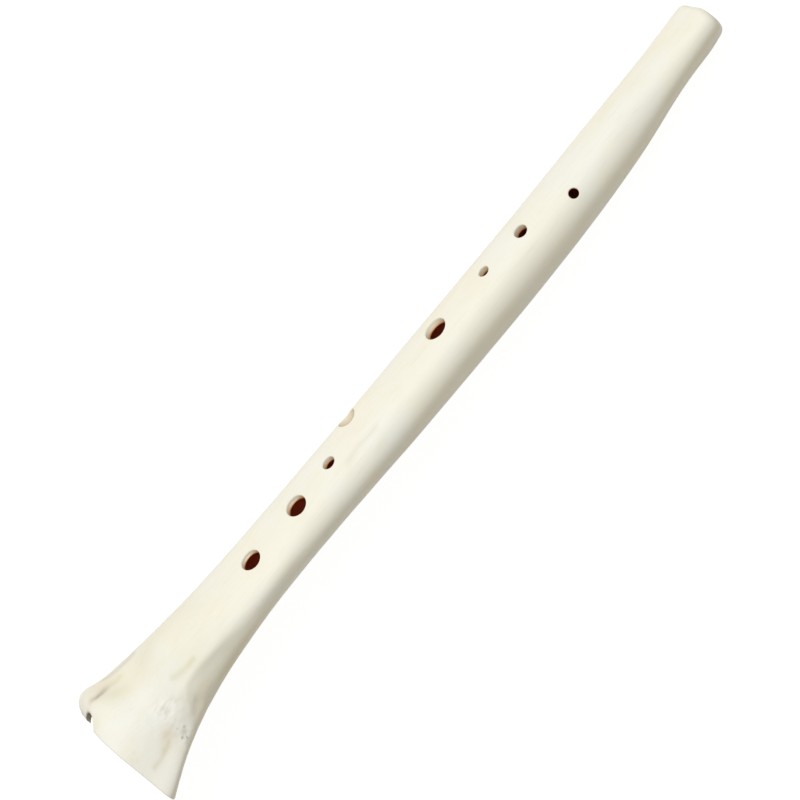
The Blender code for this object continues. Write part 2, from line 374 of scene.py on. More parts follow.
# What colours the surface, by the name of its tint: shares of the tint
TINTS = dict(
    # Painted shade in the crease, the crack, along the pocket's edge, in the groove, along the left edge
    # and in the feeding hole
    dark=(
        (0.42, Line(CREASE, 0.85, Band(7.8, 2.7))),
        (0.06, Line(CRACK, 0.45)),
        (0.10, Line(POCKET_EDGE, 1.0)),
        (0.08, Line(SHAFT_GROOVE, 0.8)),
        (0.2, Line(LEFT_EDGE, 0.9)),
        (0.4, Patch(FEED_HOLE, (0.8, 0.36))),
    ),
    # Two groups of pits and a short row of them, on the right of the crest, darkened with painted shade
    pits=(
        (0.9, Patch((14.9, -17.5), (1.5, 1.9))),
        (0.7, Patch((14.2, -26.5), (1.5, 1.5))),
        (0.5, Patch((9.6, -25.8), (1.4, 0.5))),
    ),
    # Scratched places on both sides of the crest
    scratches=(
        (0.9, Patch((14.8, -21.0), (2.2, 3.0))),
        (0.8, Patch((16.0, 14.5), (2.4, 2.2))),
        (0.6, Patch((18.9, 7.5), (1.5, 1.0))),
    ),
    # The tan patch, the crack's foot end, painted shade along the crease, two stains of the
    # right limb that also paint its shade darker, the lobe's root, and three dots near the rim
    tan=(
        (0.62, Patch((11.8, -6.5), (2.3, 2.0), 25)),
        (0.36, Line(CRACK, 0.7, foot_to(8.4, 1.5))),
        (0.55, Line(CREASE, 1.9, foot_to(12.0, 5.0))),
        (0.45, Patch((25.0, -32.0), (5.0, 1.9))),
        (0.32, Patch((41.2, -38.0), (5.0, 1.9))),
        (0.36, Patch((8.8, 101.0), (4.5, 3.0))),
        (0.3, Patch((3.0, 15.0), (0.5, 0.4))),
        (0.3, Patch((1.4, 15.0), (0.5, 0.4))),
        (0.3, Patch((2.2, 8.5), (0.5, 0.4))),
    ),
    # Two strokes on the left of the crest, the tan patch's foot end, the upper ends of the
    # crack and the crease, the hollow beside the crease, the flare's left side, a band
    # round its neck, and a stain of the right limb
    olive=(
        (0.55, Line(((30.8, 6.5), (28.6, 7.2)), 0.7)),
        (0.42, Line(((27.1, 8.8), (25.2, 13.0), (23.5, 18.5)), 0.8)),
        (0.4, Patch((8.4, -11.0), (1.4, 0.9))),
        (0.3, Line(CRACK, 0.7, mouth_to(8.0, 1.5))),
        (0.4, Line(((14.6, 97.0), (12.6, 94.0)), 1.0)),
        (0.42, Patch((10.6, 72.0), (4.5, 3.2))),
        (0.2, Patch((20.0, 84.0), (7.0, 5.0))),
        (0.14, Band(32.0, 14.0)),
        (0.3, Patch((34.8, -48.0), (4.5, 1.7))),
    ),
    # The lobe, and the corner on the right of the rim
    pale=(
        (1.0, Patch((3.5, 103.0), (5.0, 4.6))),
        (0.9, Patch((4.0, -28.0), (5.5, 5.0))),
    ),
)

# Tints of the outside fade out over the share OUTSIDE_DEPTH of the wall, and the painted
# shade under the notch's overhang begins at the share NOTCH_SHADE_DEPTH. The painted shade of
# the holes and the bore, darker and redder deeper in, has the share RIM_BORE_SHADE at both
# rims, and rises to all of it over BORE_SHADE_FADE, round BORE_SHADE_START from them.
OUTSIDE_DEPTH = 0.25
NOTCH_SHADE_DEPTH = 0.1
NOTCH_SHADE = Patch((2.4, 92.0), (4.2, 8.0))
RIM_BORE_SHADE = 0.14
BORE_SHADE_START = 10.0
BORE_SHADE_FADE = 9.0

# Layers of unevenness: how high each is, the length of its steps along the bone, how many
# steps go round it, and the seed of its random heights. The skin lies SKIN_MARGIN lower
# than the solid's, so that what stands out of it stays inside the solid's box.
Layer = namedtuple("Layer", "height length count seed")
SCRAPED = (Layer(0.035, 11.0, 9, 11), Layer(0.018, 4.2, 17, 12))
FLARE_SCRAPED = (Layer(0.06, 5.5, 15, 13), Layer(0.035, 1.9, 45, 14))
ROUGH_SCRAPED = (Layer(0.11, 1.7, 44, 15), Layer(0.05, 0.95, 80, 16))
REAMED = (Layer(0.05, 9.0, 7, 21), Layer(0.03, 3.0, 13, 22))
FLARE_REAMED = (Layer(0.08, 2.4, 19, 23),)
SKIN_MARGIN = 0.10

# The foot rim's face: its loops as shares of the way out, and its hollow and roughness,
# whose steps are read from RIM_FACE_START on and drawn together by RIM_FACE_SCALE
RIM_FACE_SHARES = (0.25, 0.5, 0.75)
RIM_FACE = Layer(0.07, 1.0, 90, 31)
RIM_FACE_START = 10.0
RIM_FACE_SCALE = 2.5

# How close the rings of the outside lie: their plain closeness, and what the flare, the
# shaft's first part and the mouth add to it. Each hole adds CLOSER_AT_HOLE, over its
# radius and CLOSE_MARGIN. It is summed up in PLACE_STEPS steps.
RING_CLOSENESS = 0.75
CLOSER = ((1.9, foot_to(27.0, 10.0)), (0.6, foot_to(62.0, 20.0)), (0.8, mouth_to(232.0, 4.0)))
CLOSER_AT_HOLE = 1.0
CLOSE_MARGIN = 2.0
PLACE_STEPS = 6000


def uneven(place, turn, length, count, seed):
    """Soft random heights between -1 and 1: a lattice of random numbers with a step of
    length along the bone and count steps round it, joined by curves of the fifth degree
    that are level at every lattice point."""
    random = np.random.default_rng(seed)
    rings = int(LENGTH / length) + 3
    lattice = random.uniform(-1, 1, (rings, count))
    along = np.clip(place, 0, LENGTH) / length
    about = (turn / (2 * math.pi)) % 1.0 * count
    i, j = np.floor(along).astype(int), np.floor(about).astype(int)
    u, v = along - i, about - j
    u, v = (w * w * w * (w * (6 * w - 15) + 10) for w in (u, v))
    j, k = j % count, (j + 1) % count
    near = lattice[i, j] * (1 - v) + lattice[i, k] * v
    far = lattice[i + 1, j] * (1 - v) + lattice[i + 1, k] * v
    return near * (1 - u) + far * u


def layered(layers, place, turn):
    """Layers of unevenness added up."""
    return sum(
        layer.height * uneven(place, turn, layer.length, layer.count, layer.seed) for layer in layers
    )


def main_relief(place, turn):
    """The crest up the top of the flare, and the ridge on its right near the rim: bell
    curves round the bone."""
    along = Stretch(CREST["foot_end"], CREST["shaft_end"], CREST["fade"]).at(place)
    crest = CREST["height"] * bell(turned(turn, CREST["turn"]), CREST["spread"]) * along
    along = bell(place - RIDGE["place"], RIDGE["length"])
    ridge = RIDGE["height"] * bell(turned(turn, RIDGE["turn"]), RIDGE["spread"]) * along
    return crest + ridge


def rough_ground(place, turn):
    """1 on the rough, pale ground on both sides of the crest's foot end."""
    return np.clip(summed(ROUGH_GROUND, place, turn), 0, 1)


def fine_relief(place, turn):
    """What the solid leaves out, in millimetres outwards: the hand-scraped unevenness of
    the shaft, the rougher flare, the marks of both and the mouth's worn corner."""
    height = layered(SCRAPED, place, turn)
    height += FLARE.at(place) * layered(FLARE_SCRAPED, place, turn)
    height += rough_ground(place, turn) * layered(ROUGH_SCRAPED, place, turn)
    height += summed(RELIEF, place, turn)
    corner = bell(turned(turn, CORNER_TURN), CORNER_SPREAD) * bell(place - LENGTH, CORNER_REACH)
    return height - CORNER_WEAR * corner - SKIN_MARGIN


def outer_relief(place, turn):
    """All that stands out of the plain outside, in millimetres."""
    return main_relief(place, turn) + fine_relief(place, turn)


def bore_relief(place, turn):
    """The bore is reamed by hand: a little uneven, and more so where the foot opens."""
    return layered(REAMED, place, turn) + FLARE.at(place) * layered(FLARE_REAMED, place, turn)


def skin_point(place, turn, inside):
    """Points on the finished outside, or on the inside of the wall."""
    if inside:
        return bone_point(place, turn, WALL, bore_relief(place, turn))
    return bone_point(place, turn, 0.0, outer_relief(place, turn))


def wall_point(place, turn, inset):
    """Points of a rim, part of the way through the wall: the relief of the outside fades
    out on the way in."""
    share = inset / WALL
    relief = (1 - share) * outer_relief(place, turn) + share * bore_relief(place, turn)
    return bone_point(place, turn, inset, relief)


class Shell:
    """The flute's one closed skin while it is made. Its loops are joined in one order:
    the outside from foot to mouth, the mouth's rim, the inside back to the foot and the
    foot's rim. So every face points out of the bone."""

    def __init__(self):
        self.points = []
        self.places = []
        self.turns = []
        self.depths = []
        self.quads = []
        self.triangles = []
        self.count = 0

    def add(self, points, place, turn, depth):
        """Keeps points with their place, turn and depth through the wall (0 outside, 1
        in the bore), and gives their numbers in the same array shape."""
        shape = points.shape[:-1]
        numbers = self.count + np.arange(math.prod(shape)).reshape(shape)
        self.points.append(points.reshape(-1, 3))
        for kept, values in ((self.places, place), (self.turns, turn), (self.depths, depth)):
            kept.append(np.broadcast_to(values, shape).reshape(-1))
        self.count += numbers.size
        return numbers

    def join(self, near, far):
        """Four-sided faces between two closed loops of the same count."""
        faces = np.stack([near, far, np.roll(far, -1), np.roll(near, -1)], -1)
        self.quads.append(faces)

    def halve(self, fine, coarse, fine_first=True):
        """Triangles between a closed loop and one of half its count, in threes."""
        even, odd, after = fine[0::2], fine[1::2], np.roll(fine[0::2], -1)
        here, there = coarse, np.roll(coarse, -1)
        for corners in ((even, here, odd), (odd, here, there), (odd, there, after)):
            if not fine_first:
                corners = corners[::-1]
            self.triangles.append(np.stack(corners, -1))

    def join_grid(self, grid, gaps, forwards=True):
        """Faces between the rows of a grid of numbers that closes round the bone, except
        the cells where gaps is set."""
        near, far = (grid[:-1], grid[1:]) if forwards else (grid[1:], grid[:-1])
        faces = np.stack([near, far, np.roll(far, -1, 1), np.roll(near, -1, 1)], -1)
        self.quads.append(faces[~gaps])

    def mesh(self, name, shift):
        """The finished mesh, in metres, of the points that some face uses, and the place,
        turn and depth of each of them."""
        quads, triangles = np.concatenate(self.quads), np.concatenate(self.triangles)
        used = np.zeros(self.count, bool)
        used[quads] = True
        used[triangles] = True
        renumbered = np.cumsum(used) - 1
        points = (np.concatenate(self.points)[used] + shift) * MM
        mesh = bpy.data.meshes.new(name)
        faces = renumbered[quads].tolist() + renumbered[triangles].tolist()
        mesh.from_pydata(points.tolist(), [], faces)
        mesh.shade_smooth()
        place, turn, depth = (
            np.concatenate(values)[used] for values in (self.places, self.turns, self.depths)
        )
        return mesh, place, turn, depth


def ring_places():
    """Where the rings of the outside lie: their closeness is summed along the bone, and
    each ring takes an equal share of the sum."""
    places = np.linspace(RIM_EDGE, LENGTH - MOUTH_EDGE, PLACE_STEPS)
    closeness = RING_CLOSENESS + summed(CLOSER, places, 0.0)
    for hole in HOLES:
        closeness += CLOSER_AT_HOLE * bell(places - hole.place, hole.diameter / 2 + CLOSE_MARGIN)
    share = np.cumsum(closeness)
    share = (share - share[0]) / (share[-1] - share[0])
    return np.interp(np.linspace(0, 1, OUTER_RINGS), share, places)


def rim_setback(turn):
    """How far the foot's rim is worn and cut back, in millimetres: a half ellipse for the
    notch, and bell curves for the lobe and the underside."""
    across = turned(turn, NOTCH_TURN) * arc_radius(0.0) / NOTCH_HALF
    notch = NOTCH_DEPTH * np.sqrt(np.clip(1 - across**2, 0, 1))
    lobe = LOBE_SETBACK * bell(turned(turn, LOBE_TURN), LOBE_SPREAD)
    underside = UNDERSIDE_SETBACK * bell(turned(turn, UNDERSIDE_TURN), UNDERSIDE_SPREAD)
    return np.maximum(np.maximum(notch, lobe), underside)


def mouth_setback(turn):
    """How far the mouth's rim is worn back, in millimetres: a bell curve on its left."""
    return MOUTH_WEAR * bell(turned(turn, MOUTH_WEAR_TURN), MOUTH_WEAR_SPREAD)


def rim_edge(turn):
    """How round the foot's outer edge is: most on the lobe."""
    return RIM_EDGE + LOBE_EDGE * bell(turned(turn, LOBE_TURN), LOBE_SPREAD)


def column_turns(places):
    """The turn of each column at each ring: even round the shaft, and drawn towards the
    notch near the foot's rim."""
    even = np.linspace(0, 2 * math.pi, COLUMNS, endpoint=False)
    away = turned(even, NOTCH_TURN)
    near_rim = np.clip((PULL_START - places) / PULL_FADE, 0, 1)
    pull = NOTCH_PULL * near_rim * near_rim * (3 - 2 * near_rim)
    return even - pull[:, None] * away * bell(away, PULL_SPREAD)


def ring_grid(rings):
    """Places and turns of a grid of rings. The first ones follow the foot's rim, and the
    last ones the mouth's."""
    turns = column_turns(rings)
    follow = np.clip(1 - (rings - RIM_EDGE) / RIM_REACH, 0, 1)[:, None] ** 2
    start = rim_setback(turns) + rim_edge(turns) - RIM_EDGE
    follow_mouth = np.clip(1 - (LENGTH - MOUTH_EDGE - rings) / RIM_REACH, 0, 1)[:, None] ** 2
    return rings[:, None] + start * follow - mouth_setback(turns) * follow_mouth, turns


Drill = namedtuple("Drill", "hole middle outwards sideways")


def drill_for(hole):
    """The drill's axis runs from the bore's middle out through the hole; sideways is
    square to it, the way that turns grow. Both are in the section's plane (Y, Z)."""
    relief = main_relief(hole.place, hole.turn)
    surface = bone_point(hole.place, hole.turn, relief=relief)[1:]
    middle = np.array(section_reach(hole.place, hole.turn)[:2])
    outwards = (surface - middle) / np.linalg.norm(surface - middle)
    return Drill(hole, middle, outwards, np.array([outwards[1], -outwards[0]]))


def below_drill(drill, along, aside, inside):
    """Points of the skin that lie so far along the bone and aside from the drill's axis,
    with their places and turns. Newton's steps find the turn at which the plain surface
    is that far aside."""
    place = drill.hole.place + along
    inset = WALL if inside else 0.0
    slope = 1e-4
    newton_steps = 8

    def offset(turn):
        """How far the plain surface at this turn lies aside from where it should."""
        relief = 0.0 if inside else main_relief(place, turn)
        point = bone_point(place, turn, inset, relief)
        return (point[..., 1:] - drill.middle) @ drill.sideways - aside

    turn = drill.hole.turn + aside / (arc_radius(drill.hole.place) - inset)
    for _ in range(newton_steps):
        rate = (offset(turn + slope) - offset(turn - slope)) / (2 * slope)
        turn = turn - offset(turn) / rate
    return skin_point(place, turn, inside), place, turn


def lowered(points, drill, distance):
    """Points moved along the drill's axis, towards the bore."""
    moved = points.copy()
    moved[..., 1:] -= drill.outwards * distance
    return moved


def block_loop(first_ring, last_ring, first_column, last_column, step):
    """Ring and column numbers once round the edge of a block of cells, clockwise as seen
    from outside with the mouth to the right."""
    rings = np.arange(first_ring, last_ring, step)
    columns = np.arange(first_column, last_column, step)
    ring_loop = (
        np.full(len(columns), first_ring), rings, np.full(len(columns), last_ring), rings[::-1] + step
    )
    column_loop = (
        columns, np.full(len(rings), last_column), columns[::-1] + step, np.full(len(rings), first_column)
    )
    return np.concatenate(ring_loop), np.concatenate(column_loop)


def hole_block(drill, rings):
    """The block of grid cells that a hole takes the place of: even numbers of the rings
    and columns that clear the hole on the outside and, which asks for more turn, in the
    bore."""
    radius = drill.hole.diameter / 2
    reach = radius + HOLE_MARGIN
    first_ring = int(np.searchsorted(rings, drill.hole.place - reach) - 1) // 2 * 2
    last_ring = int(np.searchsorted(rings, drill.hole.place + reach) + 2) // 2 * 2
    edge = radius + HOLE_BORE_EDGE + BORE_MARGIN
    low = below_drill(drill, np.array(0.0), np.array(-edge), True)[2]
    high = below_drill(drill, np.array(0.0), np.array(edge), True)[2]
    column = 2 * math.pi / COLUMNS
    first_column = int(math.floor(low / column / 2)) * 2
    last_column = int(math.ceil(high / column / 2)) * 2
    return first_ring, last_ring, first_column, last_column


def quarter_circle(first, last, count):
    """Steps over a rounded edge with a radius of 1, from a tilt of 0 where it leaves one
    face to a tilt of 1, a right angle, where it meets the next: how far each step lies
    back from the next face, and down from the first one."""
    tilts = np.linspace(first, last, count) * math.pi / 2
    return [(1 - math.sin(tilt), 1 - math.cos(tilt)) for tilt in tilts]


def hole_rings(drill, place, turn):
    """A hole's rings of points, each with its place, turn and depth. From the loop of the
    outer grid at these places and turns they run in to a circle, over its worn edge, down
    the wall, over the bore's edge and out again towards the loop of the inner grid."""

    def loop_offsets(inside):
        """How far the grid's loop lies along and aside from the drill's axis."""
        points = skin_point(place, turn, inside)
        return np.stack([place - drill.hole.place, (points[:, 1:] - drill.middle) @ drill.sideways])

    outer_loop, bore_loop = loop_offsets(False), loop_offsets(True)
    angle = np.arctan2(outer_loop[1], outer_loop[0])
    circle = np.stack([np.cos(angle), np.sin(angle)])
    radius = drill.hole.diameter / 2
    left = np.clip(circle[1], 0, 1)
    worn = max(math.sin(2 * drill.hole.turn), 0.0) * drill.hole.diameter * left
    lip = HOLE_EDGE + HOLE_WEAR * worn * left
    narrow = radius - HOLE_SLANT * worn

    for share in OUTSIDE_SHARES:
        offsets = (1 - share) * (radius + lip) * circle + share * outer_loop
        yield *below_drill(drill, *offsets, False), 0.0
    for back, down in quarter_circle(0, 1, EDGE_STEPS):
        points, *where = below_drill(drill, *((radius + lip * back) * circle), False)
        top = lowered(points, drill, (lip * down)[:, None])
        yield top, *where, LIP_DEPTH * down
    bottom = lowered(below_drill(drill, *(narrow * circle), True)[0], drill, -HOLE_BORE_EDGE)
    for share in np.linspace(0, 1, WALL_STEPS + 1)[1:]:
        depth = LIP_DEPTH + (HOLE_WALL_DEPTH - LIP_DEPTH) * share
        yield (1 - share) * top + share * bottom, *where, depth
    for back, down in quarter_circle(1, 0, EDGE_STEPS)[1:]:
        points, *where = below_drill(drill, *((narrow + HOLE_BORE_EDGE * back) * circle), True)
        yield lowered(points, drill, -HOLE_BORE_EDGE * down), *where, 1.0
    for share in BORE_SHARES:
        offsets = (1 - share) * (narrow + HOLE_BORE_EDGE) * circle + share * bore_loop
        yield *below_drill(drill, *offsets, True), 1.0


def drill_hole(shell, drill, block, outer, inner, rings):
    """Closes a block with its hole, between the outer grid and the inner one, which has
    half the points."""
    ring_loop, column_loop = block_loop(*block, 1)
    last = outer[ring_loop, column_loop % COLUMNS]
    for ring in hole_rings(drill, rings[ring_loop], column_loop * 2 * math.pi / COLUMNS):
        added = shell.add(*ring)
        shell.join(last, added)
        last = added
    ring_loop, column_loop = block_loop(*block, 2)
    shell.halve(last, inner[ring_loop // 2, column_loop // 2 % (COLUMNS // 2)])


def mouth_rim(turn):
    """Places and insets of the loops of the mouth's rim, from the outside in: a quarter
    circle, the middle of the flat rim and a small inner edge, all worn back alike."""
    steps = [
        (LENGTH - MOUTH_EDGE * back, MOUTH_EDGE * down)
        for back, down in quarter_circle(0, 1, 2 * EDGE_STEPS - 1)[1:]
    ]
    steps.append((LENGTH, (MOUTH_EDGE + WALL - RIM_BORE_EDGE) / 2))
    steps += [
        (LENGTH - RIM_BORE_EDGE * back, WALL - RIM_BORE_EDGE * down)
        for back, down in quarter_circle(1, 0, EDGE_STEPS)
    ]
    return [(place - mouth_setback(turn), inset) for place, inset in steps]


def foot_rim(turn):
    """Places and insets of the loops of the foot's rim, from the bore out: a small inner
    edge, the worn face, a little hollow and rough, and the outer edge."""
    rim, edge = rim_setback(turn), rim_edge(turn)
    steps = [
        (rim + RIM_BORE_EDGE * back, WALL - RIM_BORE_EDGE * down)
        for back, down in quarter_circle(0, 1, EDGE_STEPS)
    ]
    for share in RIM_FACE_SHARES:
        inset = (1 - share) * (WALL - RIM_BORE_EDGE) + share * edge
        hollow = RIM_FACE.height * math.sin(math.pi * share)
        rough = uneven(RIM_FACE_START + inset * RIM_FACE_SCALE, turn, *RIM_FACE[1:])
        steps.append((rim + hollow * (1 + rough), inset))
    steps += [(rim + edge * back, edge * down) for back, down in quarter_circle(1, 0, 2 * EDGE_STEPS)[:-1]]
    return steps


def flute_skin():
    """The whole skin, and where it lies: the outer grid, the inner grid with half the
    rings and columns, the holes, the mouth's rim and the foot's rim."""
    shell = Shell()
    rings = ring_places()
    place, turn = ring_grid(rings)
    outer = shell.add(skin_point(place, turn, False), place, turn, 0.0)
    inner = shell.add(
        skin_point(place[::2, ::2], turn[::2, ::2], True), place[::2, ::2], turn[::2, ::2], 1.0
    )
    drills = [drill_for(hole) for hole in HOLES]
    blocks = [hole_block(drill, rings) for drill in drills]
    outer_gaps = np.zeros((OUTER_RINGS - 1, COLUMNS), bool)
    inner_gaps = np.zeros((OUTER_RINGS // 2, COLUMNS // 2), bool)
    for first_ring, last_ring, first_column, last_column in blocks:
        columns = np.arange(first_column, last_column) % COLUMNS
        outer_gaps[first_ring:last_ring, columns] = True
        inner_gaps[first_ring // 2:last_ring // 2, columns[::2] // 2] = True
    shell.join_grid(outer, outer_gaps)
    shell.join_grid(inner[1:], inner_gaps[1:], forwards=False)
    for drill, block in zip(drills, blocks):
        drill_hole(shell, drill, block, outer, inner, rings)

    last, turn = outer[-1], column_turns(rings[-1:])[0]
    for place, inset in mouth_rim(turn):
        loop = shell.add(wall_point(place, turn, inset), place, turn, inset / WALL)
        shell.join(last, loop)
        last = loop
    shell.halve(last, inner[-1])

    last, turn = None, column_turns(rings[:1])[0]
    for place, inset in foot_rim(turn):
        loop = shell.add(wall_point(place, turn, inset), place, turn, inset / WALL)
        if last is None:
            shell.halve(loop, inner[1], fine_first=False)
        else:
            shell.join(last, loop)
        last = loop
    shell.join(last, outer[0])
    return shell


def flute_shift():
    """What moves the bone so that it fills the solid's box."""
    low, high = (np.array(corner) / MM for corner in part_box("flute_body"))
    turns = np.linspace(0, 2 * math.pi, SHAPE_TURNS)
    plain = bone_point(np.linspace(0, LENGTH, BOX_RINGS)[:, None], turns)
    sides, heights = plain[..., 1], plain[..., 2]
    return np.array([
        low[0],
        (low[1] + high[1]) / 2 - (sides.min() + sides.max()) / 2,
        low[2] - heights.min(),
    ])


def flute_marks(place, turn, depth):
    """How strongly each mark shows at each point, from 0 to 1, by name: the tints of the
    outside, painted shade in the notch, and the painted shade of the holes and the bore, which
    grows through the wall and fades towards both ends."""
    outside = np.clip(1 - depth / OUTSIDE_DEPTH, 0, 1)
    marks = {name: summed(tint, place, turn) for name, tint in TINTS.items()}
    marks["pale"] = marks["pale"] + rough_ground(place, turn)
    marks = {name: mark * outside for name, mark in marks.items()}
    # Painted shade under the notch's overhang, deeper in its wall
    in_notch = NOTCH_SHADE.at(place, turn) * (1 - outside)
    marks["dark"] = marks["dark"] + in_notch * np.clip((depth - NOTCH_SHADE_DEPTH) / OUTSIDE_DEPTH, 0, 1)
    marks = {name: np.clip(mark, 0, 1) for name, mark in marks.items()}
    from_rim = np.minimum(place, LENGTH - place)
    # Painted shade of the holes and the bore: it grows with the depth through the wall and fades towards
    # both open ends
    marks["stain"] = depth * (RIM_BORE_SHADE + (1 - RIM_BORE_SHADE) * rise(from_rim - BORE_SHADE_START, BORE_SHADE_FADE))
    return marks


def linear(red, green, blue):
    """A colour in linear light, from its sRGB values of 0 to 255."""
    shares = np.array((red, green, blue)) / 255
    low, high = shares / 12.92, ((shares + 0.055) / 1.055) ** 2.4
    return *(float(v) for v in np.where(shares <= 0.04045, low, high)), 1.0


# Colours of the bone: the ground and what mottles it, then the marks on it
CREAM = linear(243, 241, 227)
CHALK = linear(241, 242, 233)
BUFF = linear(240, 236, 216)
GRAIN = linear(230, 225, 202)
THREAD = linear(219, 210, 184)
RUBBED = linear(240, 240, 234)
SCRATCH_LIGHT = linear(250, 250, 246)
SCRATCH_SHADE = linear(214, 214, 200)
OLIVE = linear(212, 208, 166)
TAN = linear(220, 206, 174)
# Painted shade for the crease and the other recesses, the notch and the pits
PAINTED_SHADE = linear(92, 84, 66)

# The lining's colours: painted shade, by how far a point lies into the wall and away from the rims
LINING = (
    (0.0, linear(242, 239, 222)),
    (0.3, linear(242, 234, 210)),
    (0.6, linear(236, 218, 184)),
    (0.84, linear(226, 178, 132)),
    (0.95, linear(218, 130, 90)),
    (1.0, linear(216, 116, 78)),
)

# The patterns of the bone: how far they are shrunk along it, which draws them out, their
# scale for each millimetre, their detail and their roughness. Pits are cells of a pattern
# of their own. Pits and scratches run askew of the bone, by SLANT in radians.
Noise = namedtuple("Noise", "along scale detail roughness")
CLOUDS = Noise(0.6, 0.085, 3.0, 0.5)
PATCHES = Noise(0.45, 0.26, 4.0, 0.5)
GRAINS = Noise(0.07, 1.5, 4.0, 0.6)
THREADS = Noise(0.05, 4.5, 3.0, 0.6)
SPECKS = Noise(1.0, 1.9, 5.0, 0.65)
STREAKS = Noise(0.3, 1.0, 3.0, 0.6)
CELLS = (0.6, 1.2, 1.2)
SLANT = (0.0, 0.0, -0.19)


class Wire:
    """A socket of a material's node tree. Its operators add Math nodes, and node() adds
    any other node from its settings and the values or wires of its inputs."""

    def __init__(self, tree, socket=None):
        self.tree = tree
        self.socket = socket

    def node(self, kind, settings=(), inputs=(), output=0):
        """A wire from a new node. Its settings come first, a ramp's stops among them."""
        made = self.tree.nodes.new(kind)
        for name, value in dict(settings).items():
            if name == "stops":
                stops = made.color_ramp.elements
                while len(stops) < len(value):
                    stops.new(1.0)
                for stop, (position, colour) in zip(stops, value):
                    stop.position = position
                    stop.color = colour
            else:
                setattr(made, name, value)
        for name, value in dict(inputs).items():
            if isinstance(value, Wire):
                self.tree.links.new(value.socket, made.inputs[name])
            else:
                made.inputs[name].default_value = value
        return Wire(self.tree, made.outputs[output])

    def math(self, operation, *values, clamp=False):
        """An operation on numbers and wires."""
        settings = {"operation": operation, "use_clamp": clamp}
        return self.node("ShaderNodeMath", settings, enumerate(values))

    def __add__(self, other):
        return self.math("ADD", self, other)

    def __sub__(self, other):
        return self.math("SUBTRACT", self, other)

    def __rsub__(self, other):
        return self.math("SUBTRACT", other, self)

    def __mul__(self, other):
        return self.math("MULTIPLY", self, other)

    __radd__ = __add__
    __rmul__ = __mul__

    def clamped(self):
        """Held between 0 and 1."""
        return self.math("ADD", self, 0.0, clamp=True)

    def scaled(self, x, y, z):
        """A vector times a size in each direction."""
        settings = {"operation": "MULTIPLY"}
        return self.node("ShaderNodeVectorMath", settings, {0: self, 1: (x, y, z)})

    def noise(self, kind):
        """Noise over this vector, drawn out along X."""
        inputs = {"Vector": self.scaled(kind.along, 1.0, 1.0), "Scale": kind.scale}
        inputs.update({"Detail": kind.detail, "Roughness": kind.roughness})
        return self.node("ShaderNodeTexNoise", (), inputs)

    def between(self, low, high):
        """0 below the low value and 1 above the high one, and smooth between them."""
        inputs = {"Value": self, "From Min": low, "From Max": high}
        return self.node("ShaderNodeMapRange", {"interpolation_type": "SMOOTHSTEP"}, inputs)

    def tint(self, colour, other):
        """The colour, with the other one over it by the share that this wire carries."""
        return self.node("ShaderNodeMix", {"data_type": "RGBA"}, {0: self, 6: colour, 7: other}, 2)

    def feed(self, shader, name):
        """Links this wire to an input of the shader."""
        self.tree.links.new(self.socket, shader.inputs[name])


def new_material(name):
    """A material with a plain shader, and a wire to start its nodes from."""
    material = bpy.data.materials.new(name)
    material.use_nodes = True
    return material, Wire(material.node_tree), material.node_tree.nodes["Principled BSDF"]


